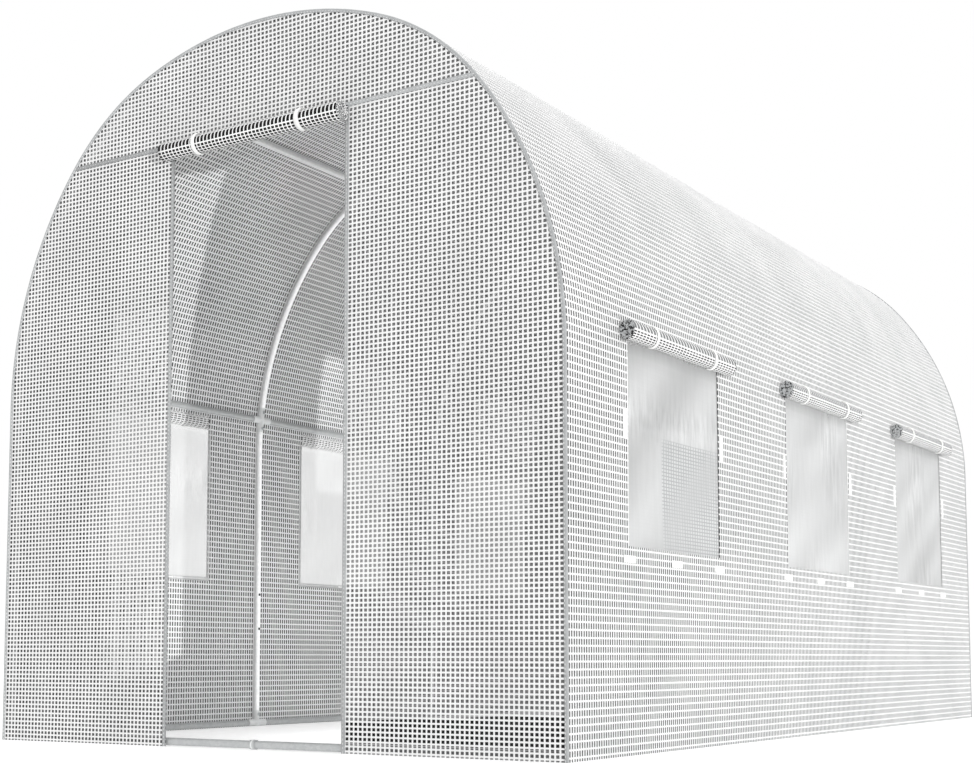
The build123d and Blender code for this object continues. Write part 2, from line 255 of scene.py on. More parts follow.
# arch outline: a straight leg, then side, shoulder and crown bends, as the CAD has them
tunnel = {
    "halfWidth": 1.0, "leg": 1.027, "sideBend": (1.158, 40.1), "shoulderBend": (0.76, 28.6),
    "tubeInset": 0.0166, "eaveAngle": 5.9, "ridgeAngle": 64.5, "hoops": 4,
}
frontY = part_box("front_head_panel")[0].y
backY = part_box("back_wall")[1].y
hoopYs = np.linspace(frontY + tunnel["tubeInset"], backY - tunnel["tubeInset"], tunnel["hoops"])


def bendsOfArch():
    sideR, sideA = tunnel["sideBend"][0], math.radians(tunnel["sideBend"][1])
    shoulderR, shoulderA = tunnel["shoulderBend"][0], math.radians(tunnel["shoulderBend"][1])
    endA = sideA + shoulderA
    sideRun = sideR * (1 - math.cos(sideA))
    shoulderRun = shoulderR * (math.cos(sideA) - math.cos(endA))
    crownR = (tunnel["halfWidth"] - sideRun - shoulderRun) / math.cos(endA)
    sideC = Vector((tunnel["halfWidth"] - sideR, tunnel["leg"]))
    shoulderC = sideC + Vector((math.cos(sideA), math.sin(sideA))) * (sideR - shoulderR)
    crownC = shoulderC + Vector((math.cos(endA), math.sin(endA))) * (shoulderR - crownR)
    crown = (endA, math.pi / 2, crownC, crownR)
    return ((0, sideA, sideC, sideR), (sideA, endA, shoulderC, shoulderR), crown)


archBends = bendsOfArch()
halfGirth = tunnel["leg"] + sum(radius * (high - low) for low, high, centre, radius in archBends)
girthAll = 2 * halfGirth


# place and outward direction in the XZ plane, at a distance round the arch from the right ground line
def archAt(girth):
    onLeft = girth > halfGirth
    run = girthAll - girth if onLeft else girth
    x, z, out = tunnel["halfWidth"], run, Vector((1, 0))
    if run > tunnel["leg"]:
        run -= tunnel["leg"]
        for low, high, centre, radius in archBends:
            angle = min(low + run / radius, high)
            if low + run / radius <= high + 1e-9:
                break
            run -= radius * (high - low)
        out = Vector((math.cos(angle), math.sin(angle)))
        x, z = centre + out * radius
    return (-x, z, Vector((-out.x, out.y))) if onLeft else (x, z, out)


def girthAtAngle(degrees):
    angle, run = math.radians(degrees), tunnel["leg"]
    for low, high, centre, radius in archBends:
        run += radius * (min(angle, high) - low) if angle > low else 0
    return run


tableGirths = np.linspace(0, halfGirth, 400)
archTable = np.array([archAt(g)[:2] for g in tableGirths])
topZ = archTable[-1, 1]


def halfWidthAt(z):
    return float(np.interp(z, archTable[:, 1], archTable[:, 0]))


def heightAt(x):
    return float(np.interp(-abs(x), -archTable[:, 0], archTable[:, 1]))


def girthAtHeight(z):
    return float(np.interp(z, archTable[:, 1], tableGirths))


def stepsBetween(stops, step):
    stops = sorted(set(round(s, 6) for s in stops))
    out = [stops[0]]
    for low, high in zip(stops, stops[1:]):
        count = max(1, math.ceil((high - low) / step - 1e-6))
        out += [low + (high - low) * (i + 1) / count for i in range(count)]
    return out


def clamp(value):
    return min(max(value, 0), 1)


def meshPiece(name, points, faces, materials, smooth=True, attributes=None, edges=()):
    mesh = bpy.data.meshes.new(name)
    mesh.from_pydata(points, list(edges), faces)
    for key, values in (attributes or {}).items():
        kind, field = ("FLOAT_VECTOR", "vector") if hasattr(values[0], "__len__") else ("FLOAT", "value")
        layer = mesh.attributes.new(key, kind, "POINT")
        layer.data.foreach_set(field, np.array(values, np.float32).ravel())
    for material in materials:
        mesh.materials.append(material)
    mesh.polygons.foreach_set("use_smooth", [smooth] * len(mesh.polygons))
    mesh.update()
    piece = bpy.data.objects.new(name, mesh)
    scene.collection.objects.link(piece)
    return piece


def carry(piece, slotName, *nodes):
    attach(piece, "root")
    if nodes:
        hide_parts(*nodes)
    return piece


# cloth grids: a table of places, with the cells to leave open
def gridPiece(name, rows, columns, place, isOpen, material, flip=False):
    points, faces, index = [], [], {}

    def corner(i, j):
        if (i, j) not in index:
            index[i, j] = len(points)
            points.append(place(rows[i], columns[j]))
        return index[i, j]

    for i in range(len(rows) - 1):
        for j in range(len(columns) - 1):
            if isOpen((rows[i] + rows[i + 1]) / 2, (columns[j] + columns[j + 1]) / 2):
                continue
            face = [corner(i, j), corner(i, j + 1), corner(i + 1, j + 1), corner(i + 1, j)]
            faces.append(face[::-1] if flip else face)
    return meshPiece(name, points, faces, [material])


# a Geometry Nodes tree with named sizes and a finish; the guide lines carry their outward direction
def newTree(name, sizes):
    tree = bpy.data.node_groups.new(name, "GeometryNodeTree")
    sockets = [("Geometry", "Geometry"), *[(size, "Float") for size in sizes], ("Finish", "Material")]
    for label, kind in sockets:
        tree.interface.new_socket(label, in_out="INPUT", socket_type="NodeSocket" + kind)
    tree.interface.new_socket("Geometry", in_out="OUTPUT", socket_type="NodeSocketGeometry")
    out = addNode(tree, "GeometryNodeInputNamedAttribute", {"Name": "out"}, data_type="FLOAT_VECTOR")[0]
    return tree, addNode(tree, "NodeGroupInput"), out


def endTree(tree, made, finish):
    real = addNode(tree, "GeometryNodeRealizeInstances", {"Geometry": made})[0]
    painted = addNode(tree, "GeometryNodeSetMaterial", {"Geometry": real, "Material": finish})[0]
    addNode(tree, "NodeGroupOutput", {"Geometry": painted})
    return tree


# flat tapes along guide lines, laid in the film so that they stand proud of it on both sides
def tapeTree():
    tree, given, out = newTree("wovenTapes", ("Tape width", "Lift"))
    thick = addNode(tree, "Math", {0: given["Lift"], 1: 2.0}, operation="MULTIPLY")[0]
    curve = addNode(tree, "GeometryNodeMeshToCurve", {"Mesh": given["Geometry"]})[0]
    turned = addNode(tree, "GeometryNodeSetCurveNormal", {"Curve": curve, "Normal": out}, mode="FREE")[0]
    section = addNode(tree, "GeometryNodeCurvePrimitiveQuadrilateral", {
        "Width": thick, "Height": given["Tape width"]})[0]
    tapes = addNode(tree, "GeometryNodeCurveToMesh", {"Curve": turned, "Profile Curve": section})[0]
    flat = addNode(tree, "GeometryNodeSetShadeSmooth", {"Geometry": tapes, "Shade Smooth": False})[0]
    return endTree(tree, flat, given["Finish"])


# sewn stitches: short rounded dashes at an even pitch along guide lines
def stitchTree():
    tree, given, out = newTree("sewnStitches", ("Pitch", "Stitch length", "Thread radius"))
    curve = addNode(tree, "GeometryNodeMeshToCurve", {"Mesh": given["Geometry"]})[0]
    dots = addNode(tree, "GeometryNodeCurveToPoints", {"Curve": curve, "Length": given["Pitch"]}, mode="LENGTH")
    turn = addNode(tree, "FunctionNodeAxesToRotation", {
        0: dots["Tangent"], 1: out}, primary_axis="Z", secondary_axis="X")[0]
    ball = addNode(tree, "GeometryNodeMeshUVSphere", {"Segments": 6, "Rings": 5, "Radius": 1.0})[0]
    dash = addNode(tree, "GeometryNodeSetShadeSmooth", {"Geometry": ball})[0]
    long = addNode(tree, "Math", {0: given["Stitch length"], 1: 0.5}, operation="MULTIPLY")[0]
    thin = given["Thread radius"]
    size = addNode(tree, "CombineXYZ", {"X": thin, "Y": thin, "Z": long})[0]
    sewn = addNode(tree, "GeometryNodeInstanceOnPoints", {
        "Points": dots["Points"], "Instance": dash, "Rotation": turn, "Scale": size})[0]
    return endTree(tree, sewn, given["Finish"])


# pan-head screws with a washer, standing on points along their outward direction
def screwTree():
    tree, given, out = newTree("panScrews", ("Head radius", "Head height"))
    turn = addNode(tree, "FunctionNodeAlignRotationToVector", {"Vector": out}, axis="Z")[0]
    radius, height = given["Head radius"], given["Head height"]
    wide = addNode(tree, "Math", {0: radius, 1: 1.5}, operation="MULTIPLY")[0]
    thin = addNode(tree, "Math", {0: height, 1: 0.4}, operation="MULTIPLY")[0]
    washer = addNode(tree, "GeometryNodeMeshCylinder", {"Vertices": 14, "Radius": wide, "Depth": thin})[0]
    dome = addNode(tree, "GeometryNodeMeshUVSphere", {"Segments": 12, "Rings": 6, "Radius": 1.0})[0]
    size = addNode(tree, "CombineXYZ", {"X": radius, "Y": radius, "Z": height})[0]
    head = addNode(tree, "GeometryNodeTransform", {"Geometry": dome, "Scale": size})[0]
    whole = addNode(tree, "GeometryNodeJoinGeometry")[0]
    for part in (washer, head):
        tree.links.new(part, whole.node.inputs[0])
    dots = addNode(tree, "GeometryNodeMeshToPoints", {"Mesh": given["Geometry"]})[0]
    placed = addNode(tree, "GeometryNodeInstanceOnPoints", {
        "Points": dots, "Instance": whole, "Rotation": turn})[0]
    return endTree(tree, placed, given["Finish"])


wovenTapes, sewnStitches, panScrews = tapeTree(), stitchTree(), screwTree()


# runs a tree over guide lines and keeps the result as a plain mesh
def grow(name, lines, tree, values):
    points, edges, outs = [], [], []
    for line in lines:
        start = len(points)
        points += [p for p, o in line]
        outs += [tuple(o) for p, o in line]
        edges += [(start + i, start + i + 1) for i in range(len(line) - 1)]
    guide = meshPiece(name + "Guide", points, [], [], attributes={"out": outs}, edges=edges)
    modifier = guide.modifiers.new("grow", "NODES")
    modifier.node_group = tree
    for item in tree.interface.items_tree:
        if item.in_out == "INPUT" and item.name in values:
            modifier[item.identifier] = values[item.name]
    seen = guide.evaluated_get(bpy.context.evaluated_depsgraph_get())
    mesh = bpy.data.meshes.new_from_object(seen)
    mesh.name = name
    bpy.data.objects.remove(guide)
    piece = bpy.data.objects.new(name, mesh)
    scene.collection.objects.link(piece)
    return piece


# cover over the hoops: one sheet from ground to ground, with three window openings a side
cover = {
    "inset": 0.0015, "roofSag": 0.0018, "wallSag": 0.0012, "ripple": 0.0006,
    "longPitch": 0.0194, "longWidth": 0.005, "girthPitch": 0.0125, "girthWidth": 0.0062,
    "longLift": 0.001, "girthLift": 0.0008, "legStep": 0.1, "bendStep": 0.06, "columnStep": 0.12,
}
window = {"count": 3, "width": 0.572, "sill": 0.542, "head": 1.125, "frontInset": 0.335, "backInset": 0.376}
lastY = backY - window["backInset"] - window["width"]
windowYs = np.linspace(frontY + window["frontInset"], lastY, window["count"])
windowSpans = [(y, y + window["width"]) for y in windowYs]
sillGirth, headGirth = window["sill"], girthAtHeight(window["head"])
supports = [0.0, girthAtAngle(tunnel["eaveAngle"]), girthAtAngle(tunnel["ridgeAngle"])]
supports += [girthAll - s for s in supports[::-1]]


def coverSlack(y, girth):
    bay = (y - hoopYs[0]) / (hoopYs[1] - hoopYs[0])
    if not 0 <= bay <= tunnel["hoops"] - 1:
        return 0.0
    k = max(i for i in range(len(supports) - 1) if supports[i] <= girth + 1e-9)
    part = (girth - supports[k]) / (supports[k + 1] - supports[k])
    deep = cover["wallSag"] if k in (0, len(supports) - 2) else cover["roofSag"]
    swell = math.sin(math.pi * bay) ** 2 * math.sin(math.pi * part) ** 2
    ruffle = noise.noise(Vector((y * 5.0, girth * 1.5, 0.7)))
    return deep * swell * (1 + 0.5 * ruffle) + cover["ripple"] * ruffle * math.sin(math.pi * part) ** 2


def coverPlace(girth, y):
    x, z, out = archAt(girth)
    deep = cover["inset"] + coverSlack(y, girth)
    return (x - out.x * deep, y, z - out.y * deep)


def inWindow(girth, y):
    isLevel = sillGirth < min(girth, girthAll - girth) < headGirth
    return isLevel and any(a < y < b for a, b in windowSpans)


def coverOut(girth):
    out = archAt(girth)[2]
    return (out.x, 0.0, out.y)


# the runs of cloth between openings, each with the steps that fall in it
def clothRuns(edges, steps):
    spans = zip(edges[::2], edges[1::2])
    return [[start, *[s for s in steps if start + 1e-6 < s < end - 1e-6], end] for start, end in spans]


windowGirths = [sillGirth, headGirth, girthAll - headGirth, girthAll - sillGirth]
windowEdges = [y for span in windowSpans for y in span]
halfRows = stepsBetween([0, sillGirth, tunnel["leg"]], cover["legStep"])
halfRows += stepsBetween([tunnel["leg"], headGirth, halfGirth], cover["bendStep"])[1:]
coverRows = halfRows + [girthAll - g for g in halfRows[-2::-1]]
coverColumns = stepsBetween([frontY, backY, *hoopYs, *windowEdges], cover["columnStep"])
coverFilm = gridPiece("cover_film", coverRows, coverColumns, coverPlace, inWindow, sideFilm, flip=True)
longLines, girthLines = [], []
for girth in np.arange(cover["longPitch"] / 2, girthAll, cover["longPitch"]):
    edges = windowEdges if sillGirth < min(girth, girthAll - girth) < headGirth else []
    for ys in clothRuns([frontY, *edges, backY], coverColumns):
        longLines.append([(coverPlace(girth, y), coverOut(girth)) for y in ys])
for y in np.arange(frontY + cover["girthPitch"] / 2, backY, cover["girthPitch"]):
    edges = windowGirths if any(a < y < b for a, b in windowSpans) else []
    for girths in clothRuns([0, *edges, girthAll], coverRows):
        girthLines.append([(coverPlace(g, y), coverOut(g)) for g in girths])
coverLong = grow("cover_long_tapes", longLines, wovenTapes, {
    "Tape width": cover["longWidth"], "Lift": cover["longLift"], "Finish": sideTape})
coverRound = grow("cover_girth_tapes", girthLines, wovenTapes, {
    "Tape width": cover["girthWidth"], "Lift": cover["girthLift"], "Finish": girthTape})
print("cover: %d + %d tapes" % (len(longLines), len(girthLines)))

# end cloths: an arch of woven film, the front one with the doorway left open
ends = {
    "pitchX": 0.0145, "pitchZ": 0.013, "width": 0.0048, "liftX": 0.0009, "liftZ": 0.0007, "inset": 0.0015,
    "bulge": 0.004, "step": 0.07, "sideSteps": 11, "midSteps": 9, "topRows": 26, "topGap": 0.004,
    "shadeFoot": 0.028, "shadeAtDoor": 0.085, "shadeAtSide": 0.115, "shadeProud": 0.0003,
}
door = {"halfWidth": 0.316, "lintel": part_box("front_head_panel")[0].z}


def endSlack(x, z, hasDoor):
    wide = max(halfWidthAt(z), 1e-4)
    if hasDoor and z < door["lintel"]:
        across, up = (abs(x) - door["halfWidth"]) / (wide - door["halfWidth"]), z / door["lintel"]
    elif hasDoor:
        across, up = 0.5 + 0.5 * x / wide, (z - door["lintel"]) / (topZ - door["lintel"])
    else:
        across, up = 0.5 + 0.5 * x / wide, z / topZ
    ruffle = noise.noise(Vector((x * 4.0, z * 2.0, 5.3)))
    swell = math.sin(math.pi * clamp(across)) * math.sin(math.pi * clamp(up))
    return ends["bulge"] * swell * (0.6 + 0.8 * ruffle)


def endPlace(x, z, isFront, deeper=0.0):
    deep = ends["inset"] + deeper + endSlack(x, z, isFront)
    return (x, frontY + deep if isFront else backY - deep, z)


# rows run up the arch; each row is split at the jambs so the doorway has clean edges
def endCloth(name, isFront, material):
    side, middle = ends["sideSteps"], ends["midSteps"]
    rows = stepsBetween([0, door["lintel"]], ends["step"])
    topGirths = np.linspace(girthAtHeight(door["lintel"]), halfGirth - ends["topGap"], ends["topRows"])
    rows += [archAt(g)[1] for g in topGirths[1:]]

    def place(z, k):
        edge = halfWidthAt(z)
        jamb = min(door["halfWidth"], edge * 0.5)
        x = np.interp(k, [0, side, side + middle, 2 * side + middle], [-edge, -jamb, jamb, edge])
        return endPlace(float(x), z, isFront)

    def inDoorway(z, k):
        return isFront and z < door["lintel"] and side < k < side + middle

    return gridPiece(name, rows, range(2 * side + middle + 1), place, inDoorway, material, flip=not isFront)


def endTapes(name, isFront, material):
    out = (0.0, -1.0 if isFront else 1.0, 0.0)
    uprights, levels = [], []
    for x in np.arange(-1 + ends["pitchX"] / 2, 1, ends["pitchX"]):
        foot = door["lintel"] if isFront and abs(x) < door["halfWidth"] else 0.0
        zs = stepsBetween([foot, heightAt(x)], ends["step"])
        uprights.append([(endPlace(x, z, isFront), out) for z in zs])
    for z in np.arange(ends["pitchZ"] / 2, topZ, ends["pitchZ"]):
        edge = halfWidthAt(z)
        spans = [(-edge, edge)]
        if isFront and z < door["lintel"]:
            spans = [(-edge, -door["halfWidth"]), (door["halfWidth"], edge)]
        for span in spans:
            levels.append([(endPlace(x, z, isFront), out) for x in stepsBetween(span, ends["step"])])
    made = []
    for way, lines, lift in (("upright", uprights, "liftX"), ("level", levels, "liftZ")):
        sizes = {"Tape width": ends["width"], "Lift": ends[lift], "Finish": material}
        made.append(grow("%s_%s_tapes" % (name, way), lines, wovenTapes, sizes))
    return made


# a near-black film laid just proud of the foot of the right front cloth, deeper towards the corner: painted
# shade standing for the dark ground inside seen through the cloth
def shadeBandPlace(part, x):
    out = (x - door["halfWidth"]) / (halfWidthAt(0) - door["halfWidth"])
    top = ends["shadeAtDoor"] + (ends["shadeAtSide"] - ends["shadeAtDoor"]) * out
    return endPlace(x, ends["shadeFoot"] + (top - ends["shadeFoot"]) * part, True, -ends["shadeProud"])


frontFilm = endCloth("front_film", True, endFilm)
backFilm = endCloth("back_film", False, endFilm)
# the cloth left of the doorway takes a denser, darker film as painted shade of the dim inside seen through it,
# all but a clearer patch beside the jamb
unshadedPatch = {"from": -0.56, "heights": (0.2, 1.3)}
frontFilm.data.materials.append(paintedShadeFilm)
for face in frontFilm.data.polygons:
    x, z = face.center.x, face.center.z
    isUnshaded = x > unshadedPatch["from"] and unshadedPatch["heights"][0] < z < unshadedPatch["heights"][1]
    face.material_index = int(x < -door["halfWidth"] and z < door["lintel"] and not isUnshaded)
frontTapes, backTapes = endTapes("front", True, endTape), endTapes("back", False, endTape)
shadeBandColumns = stepsBetween([door["halfWidth"], halfWidthAt(0)], ends["step"])
shadeBandPanel = gridPiece("right_front_shade_band", [0.0, 0.5, 1.0], shadeBandColumns, shadeBandPlace, lambda t, x: False, shadeBandFilm)
print("ends: film and tapes")


def tidyNormals(piece):
    shape = bmesh.new()
    shape.from_mesh(piece.data)
    bmesh.ops.recalc_face_normals(shape, faces=shape.faces)
    shape.to_mesh(piece.data)
    shape.free()
    return piece


# faces between closed rings of n points each
def ringFaces(start, count, n):
    faces = []
    for i in range(count - 1):
        low, high = start + i * n, start + (i + 1) * n
        faces += [[low + k, low + (k + 1) % n, high + (k + 1) % n, high + k] for k in range(n)]
    return faces


# a strip of even section swept along places; each place gives its own across and out directions
def sweepStrip(name, path, profile, material):
    points, n = [], len(profile)
    for place, across, out in path:
        points += [tuple(Vector(place) + Vector(across) * a + Vector(out) * b) for a, b in profile]
    caps = [list(range(n))[::-1], [len(points) - n + k for k in range(n)]]
    return tidyNormals(meshPiece(name, points, ringFaces(0, len(path), n) + caps, [material]))


# flat tape section: softly rounded edges, a touch of crown
def tapeProfile(width, thick):
    w, t = width / 2, thick
    return [(-w, 0.15 * t), (-w + 0.3 * t, 0), (w - 0.3 * t, 0), (w, 0.15 * t), (w, 0.6 * t),
            (w - 0.5 * t, 0.95 * t), (0, 1.1 * t), (-w + 0.5 * t, 0.95 * t), (-w, 0.6 * t)]


# binding tape folded over the arch edges, and flat tape on lintel and jambs
binding = {"face": 0.008, "turn": 0.005, "thick": 0.0018, "width": 0.012, "step": 0.03}


# places from one ground line to the other, with a margin at both
def alongArch(margin):
    stops = [margin, tunnel["leg"], girthAll - tunnel["leg"], girthAll - margin]
    return [archAt(g) for g in stepsBetween(stops, binding["step"])]


face, turn, thick = binding["face"], binding["turn"], binding["thick"]
foldedTape = [
    (-face, 0.0002), (-face, 0.0008), (-face + 0.0012, thick), (-0.001, thick + 0.0003),
    (0.0012, thick - 0.0002), (thick, 0.0002), (thick, -turn + 0.001), (0.0006, -turn),
    (0.0002, -turn), (0.0002, 0.0002)]
for faceY, sign, label in ((frontY, -1, "front"), (backY, 1, "back")):
    path = [((x, faceY, z), (out.x, 0, out.y), (0, sign, 0)) for x, z, out in alongArch(0)]
    carry(sweepStrip(label + "_arch_tape", path, foldedTape, greyTape), "grey_tape", label + "_arch_binding")
flatTape = tapeProfile(binding["width"], binding["thick"])
lintelZ = door["lintel"] + binding["width"] / 2
lintelEnd = halfWidthAt(lintelZ) - binding["face"]
jambX = door["halfWidth"] + binding["width"] / 2
path = [((x, frontY, lintelZ), (0, 0, 1), (0, -1, 0)) for x in (-lintelEnd, 0, lintelEnd)]
carry(sweepStrip("lintel_tape", path, flatTape, greyTape), "grey_tape", "lintel_binding")
for side, label in ((-1, "left"), (1, "right")):
    path = [((side * jambX, frontY, z), (1, 0, 0), (0, -1, 0)) for z in (0, 0.9, door["lintel"])]
    carry(sweepStrip(label + "_jamb_tape", path, flatTape, greyTape), "grey_tape", "jamb_bindings")
print("bindings")

# cloth wound on itself: it comes down the wall, passes under the roll and winds inwards
roll = {
    "perTurn": 36, "core": 0.004, "leadSteps": 4, "step": 0.05, "wobble": 0.0008,
    "waist": 0.035, "waistReach": 0.018, "flare": 0.03, "flareReach": 0.025,
}


# rows of cells round a roll, by angle: even rows, then one tall row where the cloth is pulled long, then even
# rows again; gives the row and how dark its cells look
def rowAt(cells, length, degrees):
    row, dark, end, share = cells["row"], cells["tallDark"], cells["tallEnd"], cells["share"]
    past = (degrees or math.degrees(length / cells["leadRadius"])) - cells["tallFrom"]
    if past < 0:
        return past / row, cells["deep"][0]
    if past < dark:
        return share * past / dark, cells["deep"][1]
    if past < end:
        return share + (1 - share) * (past - dark) / (end - dark), cells["deep"][2]
    return 1 + (past - end) / row, cells["deep"][2]


def woundCloth(name, start, end, size, out, up, straps, materials, node):
    start, out, up = Vector(start), Vector(out), Vector(up)
    run = Vector(end) - start
    radius, lead, thick = size["radius"], size["lead"], size["thick"]
    nearEnds = [d for near in (0, 0.015, 0.03) for d in (near, run.length - near)]
    nearStraps = [s + d for s in straps for d in (-0.03, -0.012, 0.012, 0.03)]
    stops = stepsBetween(nearEnds + nearStraps, roll["step"])
    parts = [i / roll["leadSteps"] for i in range(roll["leadSteps"])]
    spiral = [(-radius + thick / 2, lead * (1 - part), lead * part, 0.0) for part in parts]
    steps = int((radius - roll["core"]) / size["layerGap"] * roll["perTurn"])
    length = lead
    for i in range(steps + 1):
        turn = 2 * math.pi * i / roll["perTurn"]
        r = radius - thick / 2 - size["layerGap"] * turn / (2 * math.pi)
        length += r * 2 * math.pi / roll["perTurn"] if i else 0
        spiral.append((r * math.cos(math.pi + turn), r * math.sin(math.pi + turn), length, turn))
    points, faces, along, rows = [], [], [], []
    for a, b, length, turn in spiral:
        for s in stops:
            waist = sum(math.exp(-((s - p) / roll["waistReach"]) ** 2) for p in straps) * roll["waist"]
            flares = sum(math.exp(-(d / roll["flareReach"]) ** 2) for d in (s, run.length - s))
            shrink = 1 - waist + roll["flare"] * flares if turn > 0.3 else 1.0
            ruffle = noise.noise(Vector((s * 9.0, turn * 0.8, radius * 100)))
            sag = roll["wobble"] * ruffle if turn > 0.6 else 0
            away = size["squash"] * (a * shrink + sag * math.copysign(1, a))
            points.append(tuple(start + run.normalized() * s + out * away + up * (b * shrink + sag)))
            along.append(s)
            rows.append(rowAt(size["cells"], length - lead, math.degrees(turn)))
    n = len(stops)
    for i in range(len(spiral) - 1):
        faces += [[i * n + k, i * n + k + 1, (i + 1) * n + k + 1, (i + 1) * n + k] for k in range(n - 1)]
    attributes = {"along": along, "rows": [row for row, deep in rows], "deep": [deep for row, deep in rows]}
    piece = meshPiece(name, points, faces, materials, attributes=attributes)
    solid = piece.modifiers.new("thickness", "SOLIDIFY")
    solid.thickness, solid.offset, solid.material_offset_rim = thick, 0.0, 1
    seen = piece.evaluated_get(bpy.context.evaluated_depsgraph_get())
    mesh = bpy.data.meshes.new_from_object(seen)
    piece.modifiers.clear()
    piece.data = mesh
    carry(piece, "cover_sheet", node)


# webbing strap from the cloth above a roll, round its outer face, to the cloth below
strap = {
    "width": 0.014, "thick": 0.0018, "gap": 0.0004, "steps": 22, "windowInset": 0.098, "doorSpacing": 0.381,
}


def tieStrap(name, centre, size, across, out, up, degrees, node):
    path = []
    for angle in np.radians(np.linspace(*degrees, strap["steps"])):
        a, b = math.cos(angle), math.sin(angle)
        away = (out * a + up * b * size["squash"]).normalized()
        place = centre + (out * a * size["squash"] + up * b) * (size["radius"] + strap["gap"])
        path.append((place, across, away))
    piece = sweepStrip(name, path, tapeProfile(strap["width"], strap["thick"]), whiteWebbing)
    carry(piece, "white_strap", node)


windowRoll = {
    "radius": 0.0285, "rise": 0.08, "overhang": 0.042, "gap": 0.0003, "lead": 0.012, "squash": 0.8,
    "layerGap": 0.0046, "thick": 0.0036,
    # dark thin rows on the lower half, one tall pale row above them
    "cells": {"row": 16.0, "tallFrom": 173.0, "tallDark": 64.0, "tallEnd": 76.0, "share": 0.5,
              "leadRadius": 0.025, "deep": (1.0, 0.12, 0.5)},
}
rollAngle = math.asin(windowRoll["rise"] / tunnel["sideBend"][0])
rollX, rollZ, rollOut = archAt(tunnel["leg"] + rollAngle * tunnel["sideBend"][0])
for side, label in ((1, "right"), (-1, "left")):
    out, up = Vector((side * rollOut.x, 0, rollOut.y)), Vector((-side * rollOut.y, 0, rollOut.x))
    proud = windowRoll["radius"] * windowRoll["squash"] + windowRoll["gap"]
    centre = Vector((side * rollX, 0, rollZ)) + out * proud
    for number, y in enumerate(windowYs):
        start = centre + Vector((0, y - windowRoll["overhang"], 0))
        end = centre + Vector((0, y + window["width"] + windowRoll["overhang"], 0))
        inset = windowRoll["overhang"] + strap["windowInset"]
        insets = [inset, end.y - start.y - inset]
        woundCloth("%s_flap_%d" % (label, number + 1), start, end, windowRoll, out, up, insets,
                   [windowRollCloth, windowRollEnd], label + "_window_rolls")
        for letter, inset in zip("ab", insets):
            tieStrap("%s_flap_strap_%d%s" % (label, number + 1, letter), start + Vector((0, inset, 0)),
                     windowRoll, (0, 1, 0), out, up, (128, -112), label + "_window_straps")
print("window rolls and straps")

# the rolled-up door hangs just under the lintel tape
doorRoll = {
    "radius": 0.029, "overhang": 0.012, "drop": 0.020, "gap": 0.0036, "lead": 0.022, "squash": 1.0,
    "layerGap": 0.0056, "thick": 0.0032,
    "cells": {"row": 20.0, "tallFrom": 164.0, "tallDark": 52.0, "tallEnd": 58.0, "share": 0.72,
              "leadRadius": 0.025, "deep": (1.0, 1.0, 1.0)},
}
out, up = Vector((0, -1, 0)), Vector((0, 0, 1))
centre = Vector((0, frontY - doorRoll["gap"] - doorRoll["radius"], door["lintel"] - doorRoll["drop"]))
reach = Vector((door["halfWidth"] + doorRoll["overhang"], 0, 0))
insets = [reach.x - strap["doorSpacing"] / 2, reach.x + strap["doorSpacing"] / 2]
woundCloth("door_flap", centre - reach, centre + reach, doorRoll, out, up, insets,
           [doorRollCloth, doorRollEnd], "door_roll")
for letter, inset in zip("ab", insets):
    tieStrap("door_flap_strap_" + letter, centre - reach + Vector((inset, 0, 0)), doorRoll,
             (1, 0, 0), out, up, (150, -150), "door_straps")
print("door roll and straps")

# insect nets behind the window openings, lapped under the cover all round
net = {
    "inset": 0.0038, "lap": 0.015, "belly": 0.004, "fold": 0.0022, "step": 0.026, "cloud": (0.71, 0.74, 0.76),
    "leftClearer": 0.2, "thinFrom": 0.86, "thinOver": 0.08, "bandAt": 0.6, "bandHalf": 0.09,
    "bareFrom": (0.37, 0.53), "bareEdge": (0.006, 0.004),
}
tall, lap = headGirth - sillGirth, net["lap"]
for side, label in ((1, "right"), (-1, "left")):
    for number, (low, high) in enumerate(windowSpans):
        wide = high - low
        bareY, bareZ = low + net["bareFrom"][0] * wide, sillGirth + net["bareFrom"][1] * tall
        edgeY, edgeZ = bareY - net["bareEdge"][0], bareZ - net["bareEdge"][1]
        rows = stepsBetween([sillGirth - lap, sillGirth, edgeZ, bareZ, headGirth, headGirth + lap], net["step"])
        columns = stepsBetween([low - lap, low, edgeY, bareY, high, high + lap], net["step"])

        def netPlace(girth, y):
            x, z, out = archAt(girth)
            across, rise = clamp((y - low) / wide), clamp((girth - sillGirth) / tall)
            slant = noise.noise(Vector(((y - girth) * 7.0, (y + girth) * 1.6, 2.0 + number)))
            slack = net["belly"] + net["fold"] * slant
            deep = net["inset"] + math.sin(math.pi * across) * math.sin(math.pi * rise) * slack
            return (side * (x - out.x * deep), y, z - out.y * deep)

        piece = gridPiece("%s_net_%d" % (label, number + 1), rows, columns, netPlace, lambda g, y: False,
                          netCloth, flip=side > 0)
        looks = {"cloud": [], "bare": [], "crease": [], "drift": []}
        for vertex in piece.data.vertices:
            y, z = vertex.co.y, vertex.co.z
            rise = (z - window["sill"]) / (window["head"] - window["sill"])
            drift = noise.noise(Vector(((z - 0.6 * y) * 6.0, (y + 0.6 * z) * 1.3, 4.0 + number)))
            haze = net["cloud"][number] - (net["leftClearer"] if side < 0 else 0) + 0.1 * drift
            looks["cloud"].append(haze * (1 - 0.6 * clamp((rise - net["thinFrom"]) / net["thinOver"])))
            isBare = y > bareY - 0.001 and z < bareZ - 0.003 and number == 0 and side > 0
            looks["bare"].append(min(0.85 + 0.9 * drift, 1) if isBare else 0.06)
            crease = max(0.0, 0.9 * noise.noise(Vector((y * 4, z * 3, 8.0 + number))))
            band = math.exp(-((rise - net["bandAt"]) / net["bandHalf"]) ** 2)
            looks["crease"].append(0.1 + (crease if number else band))
            looks["drift"].append(clamp(0.5 + 0.9 * drift))
        for key, values in looks.items():
            piece.data.attributes.new(key, "FLOAT", "POINT").data.foreach_set("value", values)
        piece.visible_shadow = False  # so fine a mesh hardly dims the light that falls through it
        carry(piece, "window_mesh", label + "_window_screens")
print("nets")

